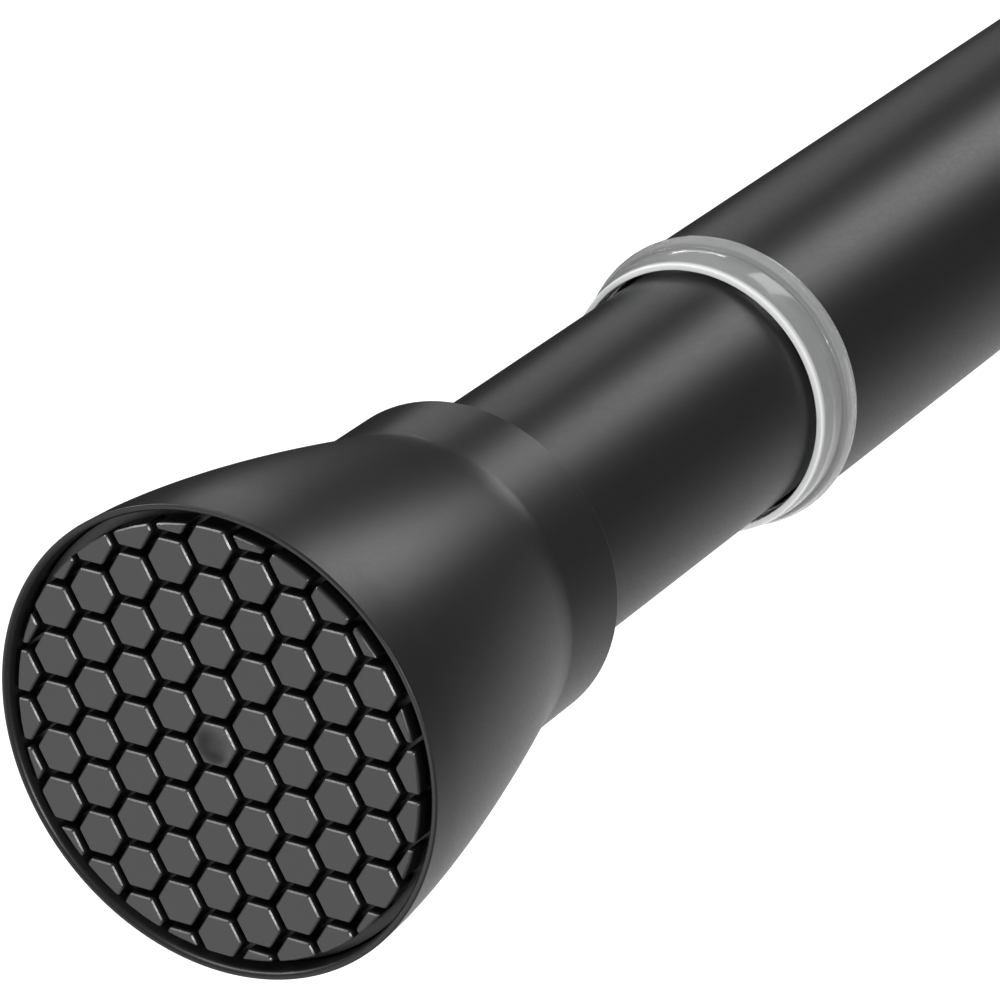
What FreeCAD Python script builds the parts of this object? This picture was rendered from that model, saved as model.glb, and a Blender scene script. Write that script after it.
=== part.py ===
import FreeCAD, Part
import math
import os
import re
import sys

import Sketcher
from FreeCAD import Placement, Rotation, Vector

# Spring tension rod: two steel tubes, one sliding in the other, between two bell shaped end caps
# with honeycomb rubber pads. A coil spring in the inner tube pushes on a spindle, and a split
# sleeve on that spindle grips the outer tube when the tubes are twisted. The rod lies along +X,
# the near pad faces -X with its lip in the plane x = 0, and all sizes are in millimetres.
# Axial places are taken as the rod stands in the picture: nearly closed, the lock backed off.

SIZES = {
    "outer_dia": 25.0,
    "outer_wall": 0.6,
    "tube_gap": 0.9,
    "inner_wall": 0.6,
    "inner_long": 303.0,
    "tube_shown": 38.1,
    "push_fit": 0.05,
    "running_fit": 0.05,
    "touch_gap": 0.05,
    "bell_long": 27.8,
    "bell_drop": 5.04,
    "neck_long": 8.1,
    "neck_wall": 1.11,
    "lip_wide": 0.61,
    "web_thick": 4.5,
    "stud_high": 2.0,
    "pad_base": 2.0,
    "stud_flats": 3.25,
    "stud_groove": 0.70,
    "rim_groove": 0.89,
    "dimple_radius": 4.0,
    "dimple_deep": 0.28,
    "plug_core": 5.0,
    "plug_long": 14.0,
    "rib_thick": 1.4,
    "stop_spigot": 8.0,
    "spring_long": 80.0,
    "spring_wire": 1.8,
    "spring_side_gap": 1.6,
    "spring_turns": 9.0,
    "seat_thick": 5.0,
    "seat_side_gap": 0.3,
    "pin_dia": 2.2,
    "pin_long": 14.0,
    "bush_long": 22.0,
    "bush_flange": 3.0,
    "bush_gap": 0.15,
    "spindle_dia": 7.0,
    "spindle_flats": 5.2,
    "tail_long": 45.0,
    "spring_stroke": 18.0,
    "end_play": 0.5,
    "shoulder_dia": 12.0,
    "shoulder_long": 4.5,
    "sleeve_long": 30.0,
    "sleeve_gap": 0.15,
    "hub_long": 9.0,
    "finger_wall": 2.2,
    "taper_slope": 0.19,
    "slit_wide": 1.8,
    "grip_wide": 4.0,
    "grip_deep": 1.2,
    "cone_long": 10.0,
    "cone_travel": 3.0,
    "cone_clear": 0.1,
    "cone_collar": 3.0,
    "key_reach": 1.45,
    "key_long": 7.0,
    "nut_across": 12.0,
    "nut_thick": 4.0,
    "tip_long": 1.5,
    "adjust_in": 20.0,
    "collar_gap": 0.44,
    "collar_face": 0.5,
    "collar_nose": 3.15,
    "collar_rise": 0.41,
    "collar_band": 1.4,
    "collar_proud": 0.46,
    "collar_lap": 0.8,
    "collar_sleeve": 8.0,
}
KEYS = 2
SLITS = 4
PLUG_RIBS = 6
FLANK = (0.26, 0.6, 1.0)
FLANK_BEND = 1.5
SPRING_STEPS = 12
SPRING_SIDES = 6

# Radii that follow from the tubes.
OUTER_R = "(outer_dia / 2)"
OUTER_BORE = "(outer_dia / 2 - outer_wall)"
INNER_R = f"({OUTER_BORE} - tube_gap)"
INNER_BORE = f"({INNER_R} - inner_wall)"
NECK_R = f"({OUTER_R} + neck_wall)"
LIP_R = f"({NECK_R} + bell_drop)"
RECESS_R = f"({LIP_R} - lip_wide)"
COLLAR_R = f"({INNER_R} + collar_gap)"
SLEEVE_R = f"({OUTER_BORE} - sleeve_gap)"
SPINDLE_R = "(spindle_dia / 2)"
RUNNING_R = f"({SPINDLE_R} + running_fit)"
TAPER_R = f"({SLEEVE_R} - finger_wall)"

# Places along the rod, each from the piece before it.
CAP_LONG = "(bell_long + neck_long)"
PAD_SEAT = "(stud_high + pad_base)"
SOCKET = f"({PAD_SEAT} + web_thick)"
INNER_END = f"({SOCKET} + inner_long)"
BUSH_FACE = f"({INNER_END} + bush_flange)"
SEAT_FACE = f"({INNER_END} - bush_long - touch_gap - seat_thick)"
SPRING_START = f"({SEAT_FACE} - touch_gap - spring_long)"
TAIL = f"({SEAT_FACE} - tail_long)"
SHOULDER = f"({BUSH_FACE} + spring_stroke + end_play)"
SLEEVE = f"({SHOULDER} + shoulder_long + touch_gap)"
SLEEVE_END = f"({SLEEVE} + sleeve_long)"
COLLAR_FACE = f"({SLEEVE_END} + cone_clear + cone_travel)"
NUT = f"({COLLAR_FACE} + cone_collar + end_play)"
TIP = f"({NUT} + nut_thick + tip_long)"
HEAD_STOP = f"({TIP} + adjust_in + end_play)"
OUTER_END = f"({HEAD_STOP} + plug_long)"
FAR_LIP = f"({OUTER_END} + {SOCKET})"
COLLAR = f"({CAP_LONG} + tube_shown)"
MOUTH = f"({COLLAR} + collar_nose + collar_band - collar_lap)"

doc = FreeCAD.newDocument("spring_tension_rod")
sheet = doc.addObject("Spreadsheet::Sheet", "Sizes")
for row, (alias, value) in enumerate(SIZES.items(), start=1):
    sheet.set(f"A{row}", alias)
    sheet.set(f"B{row}", str(value))
    sheet.setAlias(f"B{row}", alias)
doc.recompute()

pieces = []


def bound(text):
    """An expression on the sheet's cells, from one written with their aliases alone."""
    return re.sub(r"\b[a-z]\w*", lambda word: "Sizes." + word.group(0), text)


def size(text):
    return float(sheet.evalExpression(text))


def piece(kind, name):
    made = doc.addObject(kind, name)
    made.Label = name
    pieces.append(made)
    return made


def place(made, at, flip=False):
    """Set a piece at its station along the rod. A flipped piece is turned end for end."""
    angle = 180 if flip else 0
    made.Placement = Placement(Vector(0, 0, 0), Rotation(Vector(0, 0, 1), angle))
    made.setExpression("Placement.Base.x", bound(at))
    return made


def sketch_on(body, role, name):
    plane = [f for f in body.Origin.OriginFeatures if f.Role == role][0]
    sketch = body.newObject("Sketcher::SketchObject", name)
    sketch.AttachmentSupport = [(plane, "")]
    sketch.MapMode = "FlatFace"
    return sketch


def hold(sketch, kind, points, text):
    """Add a dimension to a sketch and tie it to the sheet."""
    number = sketch.addConstraint(Sketcher.Constraint(kind, *points, size(text)))
    sketch.setExpression(f"Constraints[{number}]", bound(text))


def hold_point(sketch, geometry, end, across, up):
    """Dimension a sketch point from the origin, either way along each axis."""
    for kind, text in (("DistanceX", across), ("DistanceY", up)):
        if size(text) < 0:
            hold(sketch, kind, (geometry, end, -1, 1), f"-({text})")
        else:
            hold(sketch, kind, (-1, 1, geometry, end), text)


def outline(sketch, corners):
    """Draw a closed outline of straight lines, each corner dimensioned from the origin."""
    spots = [Vector(size(across), size(up), 0) for across, up in corners]
    for i, spot in enumerate(spots):
        sketch.addGeometry(Part.LineSegment(spot, spots[(i + 1) % len(spots)]), False)
    for i, (across, up) in enumerate(corners):
        after = (i + 1) % len(corners)
        sketch.addConstraint(Sketcher.Constraint("Coincident", i, 2, after, 1))
        hold_point(sketch, i, 1, across, up)


def turned(name, corners):
    """A body turned about the rod's axis from half of its section, given as (along, radius)."""
    body = piece("PartDesign::Body", name)
    section = sketch_on(body, "XY_Plane", name + "_section")
    outline(section, corners)
    turn = body.newObject("PartDesign::Revolution", name + "_turn")
    turn.Profile = section
    turn.ReferenceAxis = (section, ["H_Axis"])
    turn.Angle = 360
    return body


def rectangle(along, across):
    """Corners of a rectangle between two places each way."""
    (a, b), (c, d) = along, across
    return [(a, c), (b, c), (b, d), (a, d)]


def feature(body, kind, sketch, name, thick):
    """Pad or pocket a sketch of the XY plane to both sides of it."""
    made = body.newObject("PartDesign::" + kind, name)
    made.Profile = sketch
    made.Midplane = True
    made.setExpression("Length", bound(thick))
    return made


def around(body, original, sketch, axis, count):
    pattern = body.newObject("PartDesign::PolarPattern", original.Name + "_round")
    pattern.Originals = [original]
    pattern.Axis = (sketch, [axis])
    pattern.Angle = 360
    pattern.Occurrences = count
    body.Tip = pattern


def tube(name, radius, wall, long, at):
    """A drawn steel tube with square cut ends."""
    corners = rectangle(("0", long), (f"{radius} - {wall}", radius))
    return place(turned(name, corners), at)


def end_cap(name, tube_radius, at, flip):
    """Moulded bell whose flank drops ever faster towards a neck that is bored for the tube."""
    bore = f"{tube_radius} + push_fit"
    flank = [
        (f"{share} * bell_long", f"{LIP_R} - bell_drop * {share} ^ {FLANK_BEND}") for share in FLANK
    ]
    corners = [
        ("0", RECESS_R),
        ("0", LIP_R),
        *flank,
        (CAP_LONG, NECK_R),
        (CAP_LONG, bore),
        (SOCKET, bore),
        (SOCKET, "0"),
        (PAD_SEAT, "0"),
        (PAD_SEAT, RECESS_R),
    ]
    return place(turned(name, corners), at, flip)


def hexagon(across, y, z):
    """A regular hexagon face in the plane x = 0, its flats above and below."""
    corner = across / math.sqrt(3)
    turns = [math.radians(60 * i) for i in range(6)]
    points = [Vector(0, y + corner * math.cos(a), z + corner * math.sin(a)) for a in turns]
    return Part.Face(Part.makePolygon(points + points[:1]))


def grip_pad(name, at, flip):
    """Rubber pad, flush with the lip: a round base with hexagonal studs, trimmed by a circle."""
    studs_end, back = size("stud_high"), size(PAD_SEAT)
    base_r = size(f"{RECESS_R} - push_fit")
    field_r = size(f"{RECESS_R} - rim_groove")
    flats, pitch = size("stud_flats"), size("stud_flats + stud_groove")
    column = pitch * math.sqrt(3) / 2
    axis = Vector(1, 0, 0)
    field = Part.Face(Part.Wire(Part.makeCircle(field_r, Vector(0, 0, 0), axis)))
    reach = math.ceil(field_r / column) + 1
    studs = []
    for i in range(-reach, reach + 1):
        for j in range(-reach, reach + 1):
            y, z = i * column, (j + 0.5 * (i % 2)) * pitch
            if math.hypot(y, z) - flats > field_r:
                continue
            stud = hexagon(flats, y, z)
            if math.hypot(y, z) + flats / math.sqrt(3) > field_r:
                stud = stud.common(field)
            studs += [f for f in stud.Faces if f.Area > 0.05 * flats**2]
    base = Part.makeCylinder(base_r, back - studs_end, Vector(studs_end, 0, 0), axis)
    pad = base.multiFuse([s.extrude(axis * studs_end) for s in studs])
    ball_r = size("dimple_radius")
    ball = Part.makeSphere(ball_r, Vector(size("dimple_deep") - ball_r, 0, 0))
    made = piece("Part::Feature", name)
    made.Shape = pad.cut(ball).Solids[0]
    return place(made, at, flip)


def ribbed_plug(name, spigot, bore, at, flip):
    """Moulded plug pressed in a tube: a round core, and thin ribs that bear on the tube's bore."""
    long = f"({spigot} + plug_long)"
    body = turned(name, rectangle(("0", long), ("0", "plug_core")))
    sketch = sketch_on(body, "XY_Plane", name + "_rib_outline")
    outline(sketch, rectangle((spigot, long), ("plug_core / 2", f"{bore} - 2 * push_fit")))
    rib = feature(body, "Pad", sketch, name + "_rib", "rib_thick")
    around(body, rib, sketch, "H_Axis", PLUG_RIBS)
    return place(body, at, flip)


def coil_spring():
    """Compression spring of round wire, its end turns closed up against the seats."""
    wire_r, turns = size("spring_wire / 2"), size("spring_turns")
    coil_r = size(f"{INNER_BORE} - spring_side_gap") - wire_r
    rise = size("spring_long") - 2 * wire_r
    closed = 2 * wire_r * 1.15
    open_pitch = (rise - 2 * closed) / (turns - 2)

    def along(turn):
        if turn < 1:
            return closed * turn
        if turn > turns - 1:
            return rise - closed * (turns - turn)
        return closed + open_pitch * (turn - 1)

    points = []
    for i in range(int(turns * SPRING_STEPS) + 1):
        turn = i / SPRING_STEPS
        angle = 2 * math.pi * turn
        points.append(
            Vector(wire_r + along(turn), coil_r * math.sin(angle), coil_r * math.cos(angle))
        )
    way = (points[1] - points[0]).normalize()
    out = Vector(0, 0, 1)
    side = way.cross(out).normalize()
    ring = []
    for i in range(SPRING_SIDES):
        angle = 2 * math.pi * (i + 0.5) / SPRING_SIDES
        ring.append(points[0] + side * wire_r * math.cos(angle) + out * wire_r * math.sin(angle))
    profile = Part.makePolygon(ring + ring[:1])
    made = piece("Part::Feature", "coil_spring")
    made.Shape = Part.makePolygon(points).makePipeShell([profile], True, False, 1)
    return place(made, SPRING_START)


def spring_seat():
    """Seat that the spring pushes on, with a cross slot that the spindle's pin lies in."""
    corners = rectangle(("0", "seat_thick"), (RUNNING_R, f"{INNER_BORE} - seat_side_gap"))
    body = turned("spring_seat", corners)
    slot = sketch_on(body, "XY_Plane", "seat_slot_outline")
    half = "(pin_long / 2 + push_fit)"
    slot_floor = "seat_thick - pin_dia - 2 * push_fit"
    outline(slot, rectangle((slot_floor, "seat_thick + end_play"), (f"-{half}", half)))
    feature(body, "Pocket", slot, "seat_slot", "pin_dia + 2 * push_fit")
    return place(body, SEAT_FACE)


def seat_pin():
    """Steel cross pin through the spindle, trapped in the seat's slot."""
    pin = piece("Part::Cylinder", "seat_pin")
    pin.setExpression("Radius", bound("pin_dia / 2"))
    pin.setExpression("Height", bound("pin_long"))
    pin.Placement = Placement(Vector(0, 0, 0), Rotation(Vector(1, 0, 0), -90))
    along = f"{SEAT_FACE} + seat_thick - pin_dia / 2 - push_fit"
    pin.setExpression("Placement.Base.x", bound(along))
    pin.setExpression("Placement.Base.y", bound("-pin_long / 2"))
    return pin


def spindle():
    """Steel spindle: a flatted tail that slides in the bush, a shoulder and a round front end."""
    keyed = f"({SHOULDER} - {TAIL})"
    shoulder_end = f"({keyed} + shoulder_long)"
    tip = f"({TIP} - {TAIL})"
    corners = [
        ("0", "0"),
        ("0", SPINDLE_R),
        (keyed, SPINDLE_R),
        (keyed, "shoulder_dia / 2"),
        (shoulder_end, "shoulder_dia / 2"),
        (shoulder_end, SPINDLE_R),
        (tip, SPINDLE_R),
        (tip, "0"),
    ]
    body = turned("spindle", corners)
    for side in (1, -1):
        name = "spindle_flat_above" if side > 0 else "spindle_flat_below"
        flat = sketch_on(body, "XZ_Plane", name + "_outline")
        reach = (f"{side} * spindle_flats / 2", f"{side} * spindle_dia")
        outline(flat, rectangle(("0", keyed), reach if side > 0 else reach[::-1]))
        feature(body, "Pocket", flat, name, "2 * spindle_dia")
    hole = sketch_on(body, "XZ_Plane", "pin_hole_outline")
    number = hole.addGeometry(Part.Circle(Vector(size("tail_long"), 0, 0), Vector(0, 0, 1), 1), False)
    hole.addConstraint(Sketcher.Constraint("PointOnObject", number, 3, -1))
    pin_place = "tail_long + seat_thick - pin_dia / 2 - push_fit"
    hold(hole, "DistanceX", (-1, 1, number, 3), pin_place)
    hold(hole, "Radius", (number,), "pin_dia / 2 + push_fit")
    feature(body, "Pocket", hole, "pin_hole", "2 * spindle_dia")
    return place(body, TAIL)


def guide_bush():
    """Moulded bush pressed in the inner tube's end, its hole flatted so the spindle can't turn."""
    long = "(bush_long + bush_flange)"
    body_r = f"{INNER_BORE} - push_fit"
    flange_r = f"{OUTER_BORE} - bush_gap"
    corners = [
        ("0", "0"),
        ("0", body_r),
        ("bush_long", body_r),
        ("bush_long", flange_r),
        (long, flange_r),
        (long, "0"),
    ]
    body = turned("guide_bush", corners)
    hole = sketch_on(body, "YZ_Plane", "bush_hole_outline")
    radius, flat = size(RUNNING_R), size("spindle_flats / 2 + running_fit")
    lean = math.asin(flat / radius)
    circle = Part.Circle(Vector(0, 0, 0), Vector(0, 0, 1), radius)
    right = hole.addGeometry(Part.ArcOfCircle(circle, -lean, lean), False)
    left = hole.addGeometry(Part.ArcOfCircle(circle, math.pi - lean, math.pi + lean), False)
    half = radius * math.cos(lean)
    top = hole.addGeometry(Part.LineSegment(Vector(half, flat, 0), Vector(-half, flat, 0)), False)
    low = hole.addGeometry(Part.LineSegment(Vector(-half, -flat, 0), Vector(half, -flat, 0)), False)
    joints = [(right, 2, top, 1), (top, 2, left, 1), (left, 2, low, 1), (low, 2, right, 1)]
    joints += [(right, 3, -1, 1), (left, 3, -1, 1)]
    for joint in joints:
        hole.addConstraint(Sketcher.Constraint("Coincident", *joint))
    for line in (top, low):
        hole.addConstraint(Sketcher.Constraint("Horizontal", line))
    hold(hole, "Radius", (right,), RUNNING_R)
    hold(hole, "DistanceY", (-1, 1, top, 1), "spindle_flats / 2 + running_fit")
    hold(hole, "DistanceY", (low, 1, -1, 1), "spindle_flats / 2 + running_fit")
    cut = body.newObject("PartDesign::Pocket", "bush_hole")
    cut.Profile = hole
    cut.Midplane = True
    cut.setExpression("Length", bound(f"3 * {long}"))
    return place(body, f"{INNER_END} - bush_long")


def lock_sleeve():
    """Moulded expander: a hub on the spindle and slit fingers round a tapered bore."""
    hollow_r = f"({TAPER_R} - taper_slope * (sleeve_long - hub_long))"
    groove_start = "(hub_long / 2 - grip_wide / 2)"
    groove_end = "(hub_long / 2 + grip_wide / 2)"
    groove_r = f"({SLEEVE_R} - grip_deep)"
    corners = [
        ("0", RUNNING_R),
        ("0", SLEEVE_R),
        (groove_start, SLEEVE_R),
        (groove_start, groove_r),
        (groove_end, groove_r),
        (groove_end, SLEEVE_R),
        ("sleeve_long", SLEEVE_R),
        ("sleeve_long", TAPER_R),
        ("hub_long", hollow_r),
        ("hub_long", RUNNING_R),
    ]
    body = turned("lock_sleeve", corners)
    slit = sketch_on(body, "XY_Plane", "slit_outline")
    ends = ("hub_long + slit_wide / 2", "sleeve_long + end_play")
    outline(slit, rectangle(ends, (SPINDLE_R, f"{SLEEVE_R} + end_play")))
    cut = feature(body, "Pocket", slit, "slit", "slit_wide")
    around(body, cut, slit, "H_Axis", SLITS)
    return place(body, SLEEVE)


def grip_ring():
    """Rubber band in the sleeve's groove, whose drag makes the sleeve turn with the outer tube."""
    inner = f"{SLEEVE_R} - grip_deep + push_fit"
    outer = f"{OUTER_BORE} - running_fit"
    corners = rectangle(("0", "grip_wide - 2 * touch_gap"), (inner, outer))
    return place(turned("grip_ring", corners), f"{SLEEVE} + hub_long / 2 - grip_wide / 2 + touch_gap")


def cone_nut():
    """Moulded nut on the spindle's thread. Its keys ride in the slits and its cone spreads them."""
    big_r = f"({TAPER_R} - running_fit)"
    small_r = f"({big_r} - taper_slope * cone_long)"
    long = "(cone_long + cone_collar)"
    corners = [
        ("0", RUNNING_R),
        ("0", small_r),
        ("cone_long", big_r),
        ("cone_long", f"{SLEEVE_R} - key_reach"),
        (long, f"{SLEEVE_R} - key_reach"),
        (long, RUNNING_R),
    ]
    body = turned("cone_nut", corners)
    key = sketch_on(body, "XY_Plane", "key_outline")
    ends = ("cone_long - key_long", "cone_long + cone_collar / 2")
    outline(key, rectangle(ends, (f"({small_r} + {RUNNING_R}) / 2", f"{SLEEVE_R} - key_reach")))
    pad = feature(body, "Pad", key, "key", "slit_wide - 4 * running_fit")
    around(body, pad, key, "H_Axis", KEYS)
    return place(body, f"{COLLAR_FACE} - cone_long")


def end_nut():
    """Steel nut locked on the spindle's tip, which keeps the cone nut on its thread."""
    prism = doc.addObject("Part::Prism", "end_nut_blank")
    prism.Polygon = 6
    prism.setExpression("Circumradius", bound("nut_across / 2 / 0.866"))
    prism.setExpression("Height", bound("nut_thick"))
    bore = doc.addObject("Part::Cylinder", "end_nut_bore")
    bore.setExpression("Radius", bound(f"{SPINDLE_R} + push_fit"))
    bore.setExpression("Height", bound("nut_thick"))
    nut = piece("Part::Cut", "end_nut")
    nut.Base = prism
    nut.Tool = bore
    nut.Placement = Placement(Vector(0, 0, 0), Rotation(Vector(0, 1, 0), 90))
    nut.setExpression("Placement.Base.x", bound(NUT))
    return nut


def collar_ring():
    """Translucent ring on the outer tube's mouth: a rounded nose, a raised band and a sleeve."""
    face_r = f"({COLLAR_R} + collar_face)"
    band_r = f"({OUTER_R} + collar_proud)"
    mouth = "(collar_nose + collar_band - collar_lap)"
    sleeve_r = f"{OUTER_BORE} - push_fit"
    corners = [
        ("0", COLLAR_R),
        ("0", face_r),
        ("collar_nose", f"{face_r} + collar_rise"),
        ("collar_nose", band_r),
        ("collar_nose + collar_band", band_r),
        ("collar_nose + collar_band", f"{OUTER_R} + push_fit"),
        (mouth, f"{OUTER_R} + push_fit"),
        (mouth, sleeve_r),
        (f"{mouth} + collar_sleeve", sleeve_r),
        (f"{mouth} + collar_sleeve", COLLAR_R),
    ]
    return place(turned("collar_ring", corners), COLLAR)


def build():
    end_cap("near_cap", INNER_R, "0", flip=False)
    grip_pad("near_pad", "0", flip=False)
    ribbed_plug("near_plug", "0", INNER_BORE, SOCKET, flip=False)
    tube("inner_tube", INNER_R, "inner_wall", "inner_long", SOCKET)
    stop_tip = f"{SPRING_START} - touch_gap + stop_spigot"
    ribbed_plug("spring_stop", "stop_spigot", INNER_BORE, stop_tip, flip=True)
    coil_spring()
    spring_seat()
    seat_pin()
    guide_bush()
    spindle()
    lock_sleeve()
    grip_ring()
    cone_nut()
    end_nut()
    collar_ring()
    tube("outer_tube", OUTER_R, "outer_wall", f"{OUTER_END} - {MOUTH}", MOUTH)
    ribbed_plug("far_plug", "0", OUTER_BORE, OUTER_END, flip=True)
    end_cap("far_cap", OUTER_R, FAR_LIP, flip=True)
    grip_pad("far_pad", FAR_LIP, flip=True)


def check():
    """Stop if any object failed to recompute or any piece isn't one sound solid."""
    for item in doc.Objects:
        if {"Invalid", "Error"} & set(item.State):
            sys.exit(f"{item.Name} did not compute: {item.State}")
    for made in pieces:
        if made.Shape.isNull() or not made.Shape.isValid() or len(made.Shape.Solids) != 1:
            sys.exit(f"{made.Label} is not one sound solid")


def export():
    os.makedirs("parts", exist_ok=True)
    for made in pieces:
        made.Shape.exportStep(f"parts/{made.Label}.step")


build()
doc.recompute()
check()
export()
for station, text in (("inner tube's end", INNER_END), ("collar", COLLAR), ("far lip", FAR_LIP)):
    print(f"{station} at x = {size(text):.2f}")
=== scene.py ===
import math

import bmesh
import bpy
from mathutils import Matrix, Quaternion, Vector


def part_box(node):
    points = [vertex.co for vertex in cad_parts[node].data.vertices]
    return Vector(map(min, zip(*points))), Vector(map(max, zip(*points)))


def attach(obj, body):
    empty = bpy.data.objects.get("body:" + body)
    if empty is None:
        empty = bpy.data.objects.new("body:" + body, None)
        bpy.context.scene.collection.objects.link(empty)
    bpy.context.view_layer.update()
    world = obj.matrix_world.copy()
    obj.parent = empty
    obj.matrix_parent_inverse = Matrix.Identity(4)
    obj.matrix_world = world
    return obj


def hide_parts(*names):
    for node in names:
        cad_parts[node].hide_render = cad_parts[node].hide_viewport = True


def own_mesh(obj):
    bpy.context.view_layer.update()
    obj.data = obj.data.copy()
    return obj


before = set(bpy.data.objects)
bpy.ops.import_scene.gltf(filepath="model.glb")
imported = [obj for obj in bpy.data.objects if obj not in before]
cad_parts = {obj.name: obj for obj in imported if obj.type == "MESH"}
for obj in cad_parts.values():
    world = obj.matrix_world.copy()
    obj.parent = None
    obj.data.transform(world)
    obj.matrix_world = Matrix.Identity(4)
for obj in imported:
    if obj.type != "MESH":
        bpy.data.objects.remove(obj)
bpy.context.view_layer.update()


# Inner tube. Thin seam-welded steel, 22 mm across, cut square and coated in black powder.
# The near cap's plug, the spring's stop and the guide bush are all pressed in its bore.
MM = 0.001
ROUND_STEPS = 192
SAME_SPOT = 0.0005
SHARP_FROM = math.radians(30)
TUBE_WALL = 0.6
TUBE_DEBURR = 0.12
TUBE_BLACK = (0.014, 0.014, 0.015)


def span(node):
    """A CAD node's lowest and highest corner, in millimetres."""
    return [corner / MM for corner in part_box(node)]


def rounded(bm, corners, back, cuts):
    """Round corners back by this much, in this many cuts."""
    bmesh.ops.bevel(
        bm, geom=corners, offset=back, offset_type="OFFSET", segments=cuts,
        profile=0.5, affect="VERTICES", material=-1, clamp_overlap=True,
    )


def turned(corners, steps=ROUND_STEPS, cuts=4):
    """A section spun about the rod's axis.

    A corner is its place along the rod and its radius, and then how far it is rounded back.
    """
    bm = bmesh.new()
    spots = [bm.verts.new((corner[0], 0, corner[1])) for corner in corners]
    bm.faces.new(spots)
    for spot, corner in zip(spots, corners):
        if len(corner) == 3:
            rounded(bm, [spot], corner[2], cuts)
    bmesh.ops.delete(bm, geom=bm.faces[:], context="FACES_ONLY")
    bmesh.ops.spin(
        bm, geom=bm.verts[:] + bm.edges[:], axis=(1, 0, 0), cent=(0, 0, 0),
        angle=2 * math.pi, steps=steps, use_merge=True,
    )
    bmesh.ops.remove_doubles(bm, verts=bm.verts[:], dist=SAME_SPOT)
    bmesh.ops.recalc_face_normals(bm, faces=bm.faces[:])
    return bm


def fitted(name, bm, finish, slot, body, *nodes):
    """Turn a bmesh in millimetres into a finished piece that rides on a body."""
    bmesh.ops.scale(bm, vec=(MM, MM, MM), verts=bm.verts[:])
    mesh = bpy.data.meshes.new(name)
    bm.to_mesh(mesh)
    bm.free()
    mesh.shade_smooth()
    mesh.set_sharp_from_angle(angle=SHARP_FROM)
    mesh.materials.append(finish)
    piece = bpy.data.objects.new(name, mesh)
    bpy.context.scene.collection.objects.link(piece)
    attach(piece, body)
    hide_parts(*nodes)
    even = piece.modifiers.new("even_shading", "WEIGHTED_NORMAL")
    even.keep_sharp = True
    return piece


def finish_named(name, colour, roughness, **sockets):
    """A material with its plain values set on the shader's own sockets."""
    made = bpy.data.materials.new(name)
    made.use_nodes = True
    shader = made.node_tree.nodes["Principled BSDF"]
    shader.inputs["Base Color"].default_value = (*colour, 1)
    shader.inputs["Roughness"].default_value = roughness
    for socket, value in sockets.items():
        shader.inputs[socket.replace("_", " ")].default_value = value
    return made


def add(made, kind, inputs, **settings):
    """A node whose inputs are numbers, colours or other nodes' sockets."""
    new = made.node_tree.nodes.new("ShaderNode" + kind)
    for key, value in settings.items():
        setattr(new, key, value)
    for socket, value in inputs.items():
        if isinstance(value, bpy.types.NodeSocket):
            made.node_tree.links.new(value, new.inputs[socket])
        else:
            new.inputs[socket].default_value = value
    return new


def to_shader(made, socket, value):
    """Lead a value to one of the shader's sockets."""
    made.node_tree.links.new(value, made.node_tree.nodes["Principled BSDF"].inputs[socket])


def speckle(made, size, stretch=(1, 1, 1), detail=2):
    """Noise fixed to the piece, with spots of about this size in millimetres."""
    place = add(made, "TexCoord", {})
    turn = add(made, "Mapping", {"Vector": place.outputs["Object"], "Scale": stretch})
    spots = {"Vector": turn.outputs["Vector"], "Scale": 1 / (size * MM), "Detail": detail}
    return add(made, "TexNoise", spots).outputs["Fac"]


def spread(made, value, low, high, start=0.3, end=0.7):
    """The value brought from start and end to low and high."""
    return add(
        made, "MapRange",
        {"Value": value, "From Min": start, "From Max": end, "To Min": low, "To Max": high},
    ).outputs["Result"]


def grained(made, value, deep):
    """Bump of this depth, in millimetres."""
    bump = add(made, "Bump", {"Height": value, "Strength": 1.0, "Distance": deep * MM})
    to_shader(made, "Normal", bump.outputs["Normal"])


def tinted(made, value, dark, light):
    """Base colour between two shades."""
    mix = add(made, "Mix", {"Factor": value}, data_type="RGBA")
    ends = [socket for socket in mix.inputs if socket.type == "RGBA"]
    ends[0].default_value = (*dark, 1)
    ends[1].default_value = (*light, 1)
    to_shader(made, "Base Color", [socket for socket in mix.outputs if socket.type == "RGBA"][0])


def surfaced(made, gloss, grain):
    """Uneven gloss, as spot size and least and most roughness, and grain, as size and depth."""
    spot, smoothest, roughest = gloss
    to_shader(made, "Roughness", spread(made, speckle(made, spot), smoothest, roughest))
    spot, deep = grain
    grained(made, speckle(made, spot), deep)


def shaded(made, colour, spot, dark, light):
    """Patches of this size between two shares of the colour."""
    shades = [[share * c for c in colour] for share in (dark, light)]
    tinted(made, speckle(made, spot), *shades)


def drawn_tube(node):
    """A tube that fills its CAD node's length, with both ends deburred."""
    low, high = span(node)
    bore = high.z - TUBE_WALL
    ends = ((low.x, bore), (low.x, high.z), (high.x, high.z), (high.x, bore))
    return turned([(along, radius, TUBE_DEBURR) for along, radius in ends])


tube_coat = finish_named("tube_coat", TUBE_BLACK, roughness=0.38)
surfaced(tube_coat, gloss=(0.35, 0.36, 0.41), grain=(0.9, 0.0015))
shaded(tube_coat, TUBE_BLACK, spot=6.0, dark=0.93, light=1.07)
inner_r = span("inner_tube")[1].z
inner_tube = drawn_tube("inner_tube")
fitted("inner_tube_drawn", inner_tube, tube_coat, "tube_paint", "near_end", "inner_tube")


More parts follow.
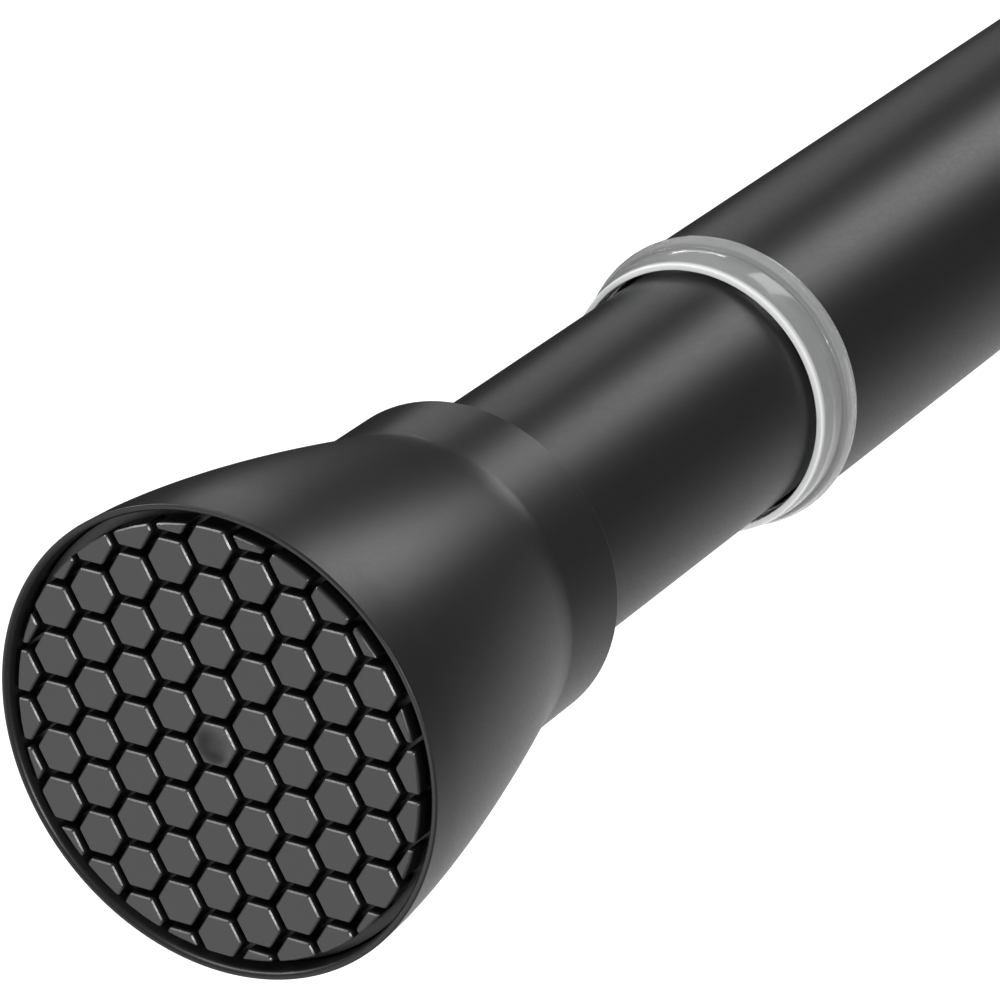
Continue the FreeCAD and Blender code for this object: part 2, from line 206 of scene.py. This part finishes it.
# End caps. Each is one black moulding: a bell with a thin rounded lip, a web behind the pad, and a
# neck that is pushed over its tube. The bell's flank drops ever faster towards the neck.
FIT = 0.05
CAP_BLACK = (0.015, 0.015, 0.016)
CAP_CUTS = 8
LIP_WIDE = 0.61
LIP_ROUND = 0.44
LIP_EDGE = 0.14
PAD_SEAT = 4.0
PAD_SEAT_ROUND = 0.2
WEB = 4.5
BELL_LONG = 27.4
BELL_END_R = 13.78
FLANK_BEND = 1.5
FLANK_FIRST = 2
FLANK_STEPS = 20
NECK_R = 13.61
NECK_BLEND = 1.2
NECK_ROUND = 0.3
NECK_EDGE = 0.15
MOUTH_EDGE = 0.12


def moulded(name, colour):
    """A plastic moulding with the mould's fine spark finish."""
    made = finish_named(name, colour, roughness=0.35)
    surfaced(made, gloss=(0.25, 0.33, 0.38), grain=(0.5, 0.0015))
    shaded(made, colour, spot=9.0, dark=0.94, light=1.06)
    return made


def bell_cap(tube_r, long, lip_r):
    """The cap at the near end, its lip in the plane x = 0."""
    bore = tube_r + FIT
    flank = []
    for step in range(FLANK_FIRST, FLANK_STEPS + 1):
        share = step / FLANK_STEPS
        flank.append((BELL_LONG * share, lip_r - (lip_r - BELL_END_R) * share**FLANK_BEND))
    return turned(
        [
            (0, lip_r - LIP_WIDE, LIP_ROUND),
            (0, lip_r, LIP_EDGE),
            *flank,
            (BELL_LONG + NECK_BLEND, NECK_R, NECK_ROUND),
            (long, NECK_R, NECK_EDGE),
            (long, bore, MOUTH_EDGE),
            (PAD_SEAT + WEB, bore),
            (PAD_SEAT + WEB, 0),
            (PAD_SEAT, 0),
            (PAD_SEAT, lip_r - LIP_WIDE, PAD_SEAT_ROUND),
        ],
        cuts=CAP_CUTS,
    )


cap_moulding = moulded("cap_moulding", CAP_BLACK)
low, high = span("near_cap")
lip_r = high.z
near_cap = bell_cap(inner_r, high.x, lip_r)
fitted("near_cap_bell", near_cap, cap_moulding, "cap_plastic", "near_end", "near_cap")


# Grip pads. Dark grey rubber moulded with a honeycomb of studs, those at the rim trimmed to the
# circle, and a shallow dish in the middle stud. Each pad is glued in its cap, flush with the lip.
STUD_SIDES = 6
STUD_HIGH = 2.0
STUD_ROOT = 0.05
STUD_ACROSS = 3.29
STUD_PITCH = 3.95
STUD_CORNER = 0.4
STUD_CORNER_CUTS = 3
STUD_EDGE = 0.10
SLIVER_SHARE = 0.05
RIM_GROOVE = 0.89
RIM_CHORDS = 72
DISH_RADIUS = 3.0
DISH_DEEP = 0.38
DISH_CUTS = 8
BASE_EDGE = 0.1
BASE_STEPS = 96
STUD_GREY = (0.029, 0.029, 0.030)
# Painted shade: the grooves' dark colour, and the depths in mm where the studs' grey starts to
# darken and where it is wholly dark.
GROOVE_PAINTED_SHADE = (0.004, 0.004, 0.004)
PAINTED_SHADE_STARTS_AT = 0.10
PAINTED_SHADE_FULL_AT = 0.45
TOUCH = 0.001


def joined(bm, other):
    """Add another bmesh's form to this one."""
    carried = bpy.data.meshes.new("carried")
    other.to_mesh(carried)
    other.free()
    bm.from_mesh(carried)
    bpy.data.meshes.remove(carried)


def stud_field(field_r):
    """The studs' outlines as flat faces, trimmed to the rim and with soft corners."""
    facing = Matrix(((0, 0, -1), (0, 1, 0), (1, 0, 0))).to_4x4()
    bm = bmesh.new()
    column = STUD_PITCH * math.sqrt(3) / 2
    reach = math.ceil(field_r / column)
    for i in range(-reach, reach + 1):
        for j in range(-reach, reach + 1):
            y, z = i * column, (j + 0.5 * (i % 2)) * STUD_PITCH
            if math.hypot(y, z) - STUD_ACROSS / 2 < field_r:
                place = Matrix.Translation((0, y, z)) @ facing
                corner_r = STUD_ACROSS / math.sqrt(3)
                bmesh.ops.create_circle(
                    bm, cap_ends=True, segments=STUD_SIDES, radius=corner_r, matrix=place
                )
    for i in range(RIM_CHORDS):
        angle = 2 * math.pi * i / RIM_CHORDS
        out = Vector((0, math.cos(angle), math.sin(angle)))
        bmesh.ops.bisect_plane(
            bm, geom=bm.verts[:] + bm.edges[:] + bm.faces[:],
            plane_co=out * field_r, plane_no=out, clear_outer=True,
        )
    slivers = [f for f in bm.faces if f.calc_area() < SLIVER_SHARE * STUD_ACROSS**2]
    bmesh.ops.delete(bm, geom=slivers, context="FACES")
    rounded(bm, bm.verts[:], STUD_CORNER, STUD_CORNER_CUTS)
    return bm


def grip_pad(lip_r):
    """The pad at the near end: the stud field raised from a round base, its edges chamfered."""
    bm = stud_field(lip_r - LIP_WIDE - RIM_GROOVE)
    raised = bmesh.ops.extrude_face_region(bm, geom=bm.faces[:])
    feet = [v for v in raised["geom"] if isinstance(v, bmesh.types.BMVert)]
    bmesh.ops.translate(bm, vec=(STUD_HIGH + STUD_ROOT, 0, 0), verts=feet)
    bmesh.ops.recalc_face_normals(bm, faces=bm.faces[:])
    tops = [f for f in bm.faces if f.normal.x < TOUCH - 1]
    bmesh.ops.inset_individual(bm, faces=tops, thickness=STUD_EDGE, use_even_offset=True)
    flat = {v for f in tops for v in f.verts}
    for v in [v for v in bm.verts if v.co.x < TOUCH and v not in flat]:
        v.co.x = STUD_EDGE
    middle = min(tops, key=lambda f: f.calc_center_median().yz.length)
    dish = [middle] + middle.edges[:] + middle.verts[:]
    for across in (Vector((0, 1, 0)), Vector((0, 0, 1))):
        for step in range(1 - DISH_CUTS, DISH_CUTS):
            cut = across * (step * STUD_ACROSS / 2 / DISH_CUTS)
            split = bmesh.ops.bisect_plane(bm, geom=dish, plane_co=cut, plane_no=across)
            dish = split["geom"]
    rim = DISH_RADIUS - DISH_DEEP
    for v in [v for v in dish if isinstance(v, bmesh.types.BMVert)]:
        v.co.x += max(0, math.sqrt(DISH_RADIUS**2 - v.co.yz.length_squared) - rim)
    base_r = lip_r - LIP_WIDE - FIT
    base = turned(
        [
            (STUD_HIGH, 0),
            (STUD_HIGH, base_r, BASE_EDGE),
            (PAD_SEAT, base_r, BASE_EDGE),
            (PAD_SEAT, 0),
        ],
        steps=BASE_STEPS,
    )
    joined(bm, base)
    return bm


def place_on(made):
    """The place on the piece, in metres along each axis."""
    place = add(made, "TexCoord", {})
    return add(made, "SeparateXYZ", {"Vector": place.outputs["Object"]}).outputs


def reckoned(made, operation, *values):
    """A sum on sockets and numbers."""
    return add(made, "Math", dict(enumerate(values)), operation=operation).outputs[0]


def stud_rubber(name, front):
    """Grey rubber with painted shade, darkening with depth from the studs' tops to black in the
    grooves.
    """
    made = finish_named(name, STUD_GREY, roughness=0.32, Specular_IOR_Level=0.72)
    away = reckoned(made, "SUBTRACT", place_on(made)["X"], front * MM)
    depth = reckoned(made, "ABSOLUTE", away)
    # Painted shade: grey on the studs' tops, darkening with depth to the grooves' painted shade.
    top = spread(made, depth, 1.0, 0.0, PAINTED_SHADE_STARTS_AT * MM, PAINTED_SHADE_FULL_AT * MM)
    tinted(made, top, GROOVE_PAINTED_SHADE, STUD_GREY)
    surfaced(made, gloss=(0.3, 0.28, 0.36), grain=(0.25, 0.0015))
    return made


near_rubber = stud_rubber("near_pad_rubber", 0)
near_pad = grip_pad(lip_r)
fitted("near_grip_pad", near_pad, near_rubber, "pad_rubber", "near_end", "near_pad")


# Near plug and spring stop. Ribbed grey mouldings driven into the inner tube: one holds the cap,
# the other is the step that the spring pushes back on.
PLUG_GREY = (0.5, 0.5, 0.48)


def bare(node, finish):
    """Give a CAD node that shows as it is this finish."""
    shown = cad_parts[node]
    shown.data.materials.clear()
    shown.data.materials.append(finish)


plug_moulding = moulded("plug_moulding", PLUG_GREY)
bare("near_plug", plug_moulding)
bare("spring_stop", plug_moulding)


# Coil spring. Round hard drawn wire, oiled, with an end turn closed up against each seat.
# In use it closes by the rod's stroke as the near end is pushed in; here it is wound at one
# length.
SPRING_START = 204.4
SPRING_END = 284.4
STROKE = 18.0
WIRE = 1.8
WIRE_SIDES = 14
END_TURN = 2.07
SPRING_TURNS = 9
TURN_STEPS = 40
SPRING_GREY = (0.30, 0.30, 0.31)


def drawn_steel(name, colour, roughness):
    """Steel with the fine lines of drawing or turning round the rod's axis."""
    made = finish_named(name, colour, roughness, Metallic=1.0)
    lines = speckle(made, size=0.2, stretch=(1, 0.08, 0.08), detail=3)
    to_shader(made, "Roughness", spread(made, lines, roughness - 0.06, roughness + 0.08))
    grained(made, lines, deep=0.002)
    shaded(made, colour, spot=4.0, dark=0.9, light=1.0)
    return made


def wound(bm, section, along, turns, steps):
    """Wind a section's edges round the rod's axis and along it, and return the last ones."""
    made = bmesh.ops.spin(
        bm, geom=section, axis=(1, 0, 0), cent=(0, 0, 0), dvec=(along / steps, 0, 0),
        angle=2 * math.pi * turns, steps=steps,
    )
    return [e for e in made["geom_last"] if isinstance(e, bmesh.types.BMEdge)]


def closed(bm, section):
    """Close a wound form's end and turn all its faces outwards."""
    bmesh.ops.contextual_create(bm, geom=section)
    bmesh.ops.recalc_face_normals(bm, faces=bm.faces[:])


spring_wire = drawn_steel("spring_wire", SPRING_GREY, roughness=0.34)
low, high = span("coil_spring")
coil_r = high.z - WIRE / 2
spring = bmesh.new()
upright = Matrix.Rotation(math.pi / 2, 4, "X")
start = Matrix.Translation((SPRING_START + WIRE / 2, 0, coil_r)) @ upright
bmesh.ops.create_circle(
    spring, cap_ends=True, segments=WIRE_SIDES, radius=WIRE / 2, matrix=start
)
ring = spring.edges[:]
open_long = SPRING_END - SPRING_START - WIRE - 2 * END_TURN
for turns, along in ((1, END_TURN), (SPRING_TURNS - 2, open_long), (1, END_TURN)):
    ring = wound(spring, ring, along, -turns, TURN_STEPS * turns)
closed(spring, ring)
coil = fitted("coil_spring_wound", spring, spring_wire, "spring_steel", "near_end", "coil_spring")
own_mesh(coil)


# Spring seat, its cross pin and the guide bush. The seat and bush are natural nylon, the pin is
# zinc plated steel. The bush's flatted hole keeps the spindle from turning in the inner tube.
NYLON = (0.72, 0.70, 0.64)
ZINC = (0.58, 0.59, 0.61)

nylon = finish_named(
    "natural_nylon", NYLON, roughness=0.45, Subsurface_Weight=0.15, Subsurface_Scale=0.001
)
surfaced(nylon, gloss=(0.8, 0.4, 0.52), grain=(1.2, 0.002))
shaded(nylon, NYLON, spot=5.0, dark=0.92, light=1.0)
zinc_plate = drawn_steel("zinc_plate", ZINC, roughness=0.3)
bare("spring_seat", nylon)
bare("guide_bush", nylon)
bare("seat_pin", zinc_plate)


# Spindle. A zinc plated steel rod with two flats on its tail, a shoulder for the sleeve to bear
# on, and a right hand thread of 2 mm pitch rolled along its front end for the cone nut.
SPINDLE_R = 3.5
SPINDLE_STEPS = 64
SPINDLE_EDGE = 0.3
FLAT_HALF = 2.6
END_PLAY = 0.5
SHOULDER_LONG = 4.5
ROOT_R = 2.9
PITCH = 2.0
THREAD_BACK = 12.0
THREAD_SHORT = 0.6
RUN_OUT = 0.7
RUN_OUT_EDGE = 0.2
RIDGE_SHORT = 1.4
RIDGE_FROM = 0.6
RIDGE_FOOT = 0.8
RIDGE_CREST = 0.15
RIDGE_SUNK = 0.05
RIDGE_SHY = 0.02
RIDGE_STEPS = 36

low, high = span("spindle")
flats = span("guide_bush")[1].x + (STROKE + END_PLAY)
shoulder_end = flats + SHOULDER_LONG
thread_start = shoulder_end + THREAD_BACK
spindle = turned(
    [
        (low.x, 0),
        (low.x, SPINDLE_R, SPINDLE_EDGE),
        (flats, SPINDLE_R),
        (flats, high.z, SPINDLE_EDGE),
        (shoulder_end, high.z, SPINDLE_EDGE),
        (shoulder_end, SPINDLE_R),
        (thread_start, SPINDLE_R, RUN_OUT_EDGE),
        (thread_start + RUN_OUT, ROOT_R),
        (high.x, ROOT_R, SPINDLE_EDGE),
        (high.x, 0),
    ],
    steps=SPINDLE_STEPS,
)
for side in (1, -1):
    bmesh.ops.bisect_plane(
        spindle, geom=spindle.verts[:] + spindle.edges[:] + spindle.faces[:],
        plane_co=(0, 0, side * FLAT_HALF), plane_no=(0, 0, side),
    )
for v in spindle.verts:
    if v.co.x < flats + TOUCH and v.co.yz.length < SPINDLE_R + TOUCH:
        v.co.z = max(-FLAT_HALF, min(FLAT_HALF, v.co.z))
ridge = bmesh.new()
section = [
    ridge.verts.new((thread_start + RIDGE_FROM + along, 0, out))
    for along, out in (
        (-RIDGE_FOOT, ROOT_R - RIDGE_SUNK),
        (-RIDGE_CREST, SPINDLE_R - RIDGE_SHY),
        (RIDGE_CREST, SPINDLE_R - RIDGE_SHY),
        (RIDGE_FOOT, ROOT_R - RIDGE_SUNK),
    )
]
ridge.faces.new(section)
ridge_long = high.x - THREAD_SHORT - thread_start - RIDGE_SHORT
turns = ridge_long / PITCH
closed(ridge, wound(ridge, ridge.edges[:], ridge_long, turns, round(RIDGE_STEPS * turns)))
joined(spindle, ridge)
fitted("threaded_spindle", spindle, zinc_plate, "plated_steel", "spindle", "spindle")
bare("end_nut", zinc_plate)


# Lock sleeve, its rubber ring and the cone nut. The nylon sleeve has slit fingers round a tapered
# bore, the ring drags on the outer tube, and the black acetal cone draws in to spread the fingers.
RING_BLACK = (0.02, 0.02, 0.02)
ACETAL = (0.03, 0.03, 0.032)

ring_rubber = finish_named("ring_rubber", RING_BLACK, roughness=0.6)
surfaced(ring_rubber, gloss=(0.4, 0.55, 0.7), grain=(0.3, 0.003))
acetal = moulded("black_acetal", ACETAL)
bare("lock_sleeve", nylon)
bare("grip_ring", ring_rubber)
bare("cone_nut", acetal)


# Outer tube. The same seam-welded steel and powder coat, 25 mm across. Its mouth is pressed over
# the collar's sleeve, and its far end takes the far plug.
outer_r = span("outer_tube")[1].z
outer_tube = drawn_tube("outer_tube")
fitted("outer_tube_drawn", outer_tube, tube_coat, "tube_paint", "outer_end", "outer_tube")


# Collar ring. A frosted clear moulding pressed in the outer tube's mouth, with a narrow front
# face, a rounded nose and a raised band that covers the cut edge. Its front is painted milkier,
# a painted highlight for the light that gathers at its front edge.
COLLAR_GAP = 0.44
COLLAR_CUTS = 6
FACE_WIDE = 0.5
FACE_EDGE = 0.1
NOSE_LONG = 3.1
NOSE_RISE = 0.37
NOSE_STEPS = 16
BAND_STEP = 0.14
BAND_STEP_LONG = 0.03
BAND_STEP_EDGE = 0.06
BAND_CROWN = 0.9
BAND_CROWN_ROUND = 0.55
BAND_BACK = 4.55
BAND_BACK_EDGE = 0.2
SLEEVE_EDGE = 0.15
CLEAR = (0.89, 0.9, 0.9)
# Painted highlight: in mm from the front, milky up to the first depth and clear from the second.
PAINTED_GLOW_FULL_TO = 0.1
PAINTED_GLOW_GONE_FROM = 0.6

low, high = span("collar_ring")
bore = inner_r + COLLAR_GAP
face = bore + FACE_WIDE
nose_end = face + NOSE_RISE
mouth = span("outer_tube")[0].x
sleeve_r = outer_r - TUBE_WALL - FIT
nose = []
for step in range(1, NOSE_STEPS + 1):
    share = step / NOSE_STEPS
    nose.append((low.x + NOSE_LONG * share, face + NOSE_RISE * (1 - (1 - share)**2)))
collar = turned(
    [
        (low.x, bore, FACE_EDGE),
        (low.x, face, FACE_EDGE),
        *nose,
        (low.x + NOSE_LONG + BAND_STEP_LONG, nose_end + BAND_STEP, BAND_STEP_EDGE),
        (low.x + NOSE_LONG + BAND_CROWN, high.z, BAND_CROWN_ROUND),
        (low.x + BAND_BACK, high.z, BAND_BACK_EDGE),
        (low.x + BAND_BACK, outer_r + FIT),
        (mouth, outer_r + FIT),
        (mouth, sleeve_r),
        (high.x, sleeve_r, SLEEVE_EDGE),
        (high.x, bore, SLEEVE_EDGE),
    ],
    cuts=COLLAR_CUTS,
)
frosted = finish_named(
    "frosted_clear", CLEAR, roughness=0.14, Transmission_Weight=0.7, IOR=1.46
)
frosting = spread(frosted, speckle(frosted, size=2.5), low=0.11, high=0.15)
to_shader(frosted, "Roughness", frosting)
# Painted highlight: the front face is made less clear than the rest, so it shows bright.
painted_glow_clearing = spread(
    frosted, place_on(frosted)["X"], low=0.25, high=0.8,
    start=(low.x + PAINTED_GLOW_FULL_TO) * MM, end=(low.x + PAINTED_GLOW_GONE_FROM) * MM,
)
to_shader(frosted, "Transmission Weight", painted_glow_clearing)
fitted("collar_clear_ring", collar, frosted, "collar_clear", "outer_end", "collar_ring")


# Far plug, cap and pad. The same mouldings as at the near end, turned round, with the cap's neck
# bored for the wider tube.
def end_for_end(bm, far):
    """Turn a piece made for the near end round, and stand it at the far end."""
    half_turn = Matrix.Rotation(math.pi, 3, "Z")
    bmesh.ops.rotate(bm, cent=(0, 0, 0), matrix=half_turn, verts=bm.verts[:])
    bmesh.ops.translate(bm, vec=(far, 0, 0), verts=bm.verts[:])
    return bm


low, high = span("far_cap")
far_lip = high.x
far_cap = end_for_end(bell_cap(outer_r, far_lip - low.x, lip_r), far_lip)
fitted("far_cap_bell", far_cap, cap_moulding, "cap_plastic", "outer_end", "far_cap")
far_rubber = stud_rubber("far_pad_rubber", far_lip)
far_pad = end_for_end(grip_pad(lip_r), far_lip)
fitted("far_grip_pad", far_pad, far_rubber, "pad_rubber", "outer_end", "far_pad")
bare("far_plug", plug_moulding)


# Studio. A pale floor well below the rod, which is held up between two walls in use. Mirrored, it
# is dark with a glow to one side that shades the tubes, bell and pad. A tall soft lamp draws the
# band along the tubes, a strip the collar's highlight, and three small ones light the studs.
FLOOR_DROP = 0.6
FLOOR_REACH = 12
FLOOR_PALE = (0.8, 0.8, 0.8)
FLOOR_DARK = (0.02, 0.02, 0.02)
FLOOR_WHITE = 0.4
GLOW_CARD = 0.95
GLOW_NEAR = 0.1
TUBE_GLOW_RISES = (-1.3, 0.35)
TUBE_GLOW_FALLS = (0.8, 1.02)
PAD_GLOW_RISES = (-0.1, 0.45)
PAD_TO_TUBE_GLOW = (-0.2, 0.0)
ROOM_LEVEL = 0.8
ROOM_MIRRORED = 0.03
LAMPS_FACE = Vector((0.06, 0, 0))
# Each lamp's name, direction, distance, width, height, brightness and lean in degrees.
LAMPS = (
    ("band_softbox", (0.80, -0.12, 0.50), 3.0, 0.9, 1.6, 3.5, 0),
    ("side_strip", (0.81, 0.47, 0.35), 3.0, 0.05, 1.3, 12.0, 34),
    ("pad_lamp", (-0.66, -0.72, 0.26), 1.2, 0.18, 0.18, 60.0, 0),
    ("top_lamp", (-0.40, 0.45, 0.80), 1.5, 0.5, 0.5, 9.0, 0),
    ("left_lamp", (-0.20, 0.80, 0.56), 1.5, 0.4, 0.4, 14.0, 0),
)

floor_bm = bmesh.new()
bmesh.ops.create_grid(floor_bm, x_segments=1, y_segments=1, size=FLOOR_REACH)
bmesh.ops.translate(floor_bm, vec=(0, 0, -FLOOR_DROP), verts=floor_bm.verts[:])
floor_mesh = bpy.data.meshes.new("studio_floor")
floor_bm.to_mesh(floor_mesh)
floor_bm.free()
floor = bpy.data.objects.new("studio_floor", floor_mesh)
bpy.context.scene.collection.objects.link(floor)
floor_paint = finish_named(
    "floor_paint", FLOOR_PALE, roughness=0.8,
    Specular_IOR_Level=0.0, Emission_Color=(1, 1, 1, 1),
)
rays = add(floor_paint, "LightPath", {}).outputs
tinted(floor_paint, rays["Is Glossy Ray"], FLOOR_PALE, FLOOR_DARK)
seen = reckoned(floor_paint, "MAXIMUM", rays["Is Camera Ray"], rays["Is Transmission Ray"])
white = reckoned(floor_paint, "MULTIPLY", seen, FLOOR_WHITE)
spot = place_on(floor_paint)
rising = spread(floor_paint, spot["Y"], GLOW_NEAR, GLOW_CARD, *TUBE_GLOW_RISES)
falling = spread(floor_paint, spot["Y"], 1.0, 0.0, *TUBE_GLOW_FALLS)
tube_glow = reckoned(floor_paint, "MULTIPLY", rising, falling)
pad_glow = spread(floor_paint, spot["Y"], GLOW_NEAR, GLOW_CARD, *PAD_GLOW_RISES)
shared = spread(floor_paint, spot["X"], pad_glow, tube_glow, *PAD_TO_TUBE_GLOW)
mirrored = reckoned(floor_paint, "MULTIPLY", shared, rays["Is Glossy Ray"])
glow = reckoned(floor_paint, "MAXIMUM", white, mirrored)
to_shader(floor_paint, "Emission Strength", glow)
floor_mesh.materials.append(floor_paint)

for name, way, far, wide, tall, brightness, lean in LAMPS:
    data = bpy.data.lights.new(name, "AREA")
    data.shape = "RECTANGLE"
    data.size, data.size_y = wide, tall
    data.energy = brightness * math.pi * wide * tall
    lamp = bpy.data.objects.new(name, data)
    bpy.context.scene.collection.objects.link(lamp)
    lamp.location = LAMPS_FACE + Vector(way).normalized() * far
    lamp.rotation_mode = "QUATERNION"
    leaning = Quaternion((0, 0, 1), math.radians(lean))
    lamp.rotation_quaternion = Vector(way).to_track_quat("Z", "Y") @ leaning

room = bpy.data.worlds.new("room")
bpy.context.scene.world = room
room.use_nodes = True
background = room.node_tree.nodes["Background"]
background.inputs["Color"].default_value = (1, 1, 1, 1)
looking = add(room, "LightPath", {}).outputs["Is Glossy Ray"]
level = spread(room, looking, ROOM_LEVEL, ROOM_MIRRORED, 0.0, 1.0)
room.node_tree.links.new(level, background.inputs["Strength"])


# Camera. A long lens close to the near cap, down and across the rod as in the picture. Its place,
# turn and lens were fitted to the outlines of the tubes, the lip and the studs.
CAMERA_PLACE = (-0.27493, -0.18143, 0.16544)
CAMERA_AZIMUTH = math.radians(-60.168)
CAMERA_ELEVATION = math.radians(23.954)
LENS = 183.47
SENSOR = 36
NEAR_CLIP = 0.01

back = Vector(
    (
        math.sin(CAMERA_AZIMUTH) * math.cos(CAMERA_ELEVATION),
        -math.cos(CAMERA_AZIMUTH) * math.cos(CAMERA_ELEVATION),
        math.sin(CAMERA_ELEVATION),
    )
)
lens = bpy.data.cameras.new("camera")
lens.lens = LENS
lens.sensor_width = SENSOR
lens.clip_start = NEAR_CLIP
camera = bpy.data.objects.new("camera", lens)
bpy.context.scene.collection.objects.link(camera)
camera.location = CAMERA_PLACE
camera.rotation_mode = "QUATERNION"
camera.rotation_quaternion = (-back).to_track_quat("-Z", "Y")
bpy.context.scene.camera = camera
bpy.context.scene.view_settings.view_transform = "Standard"
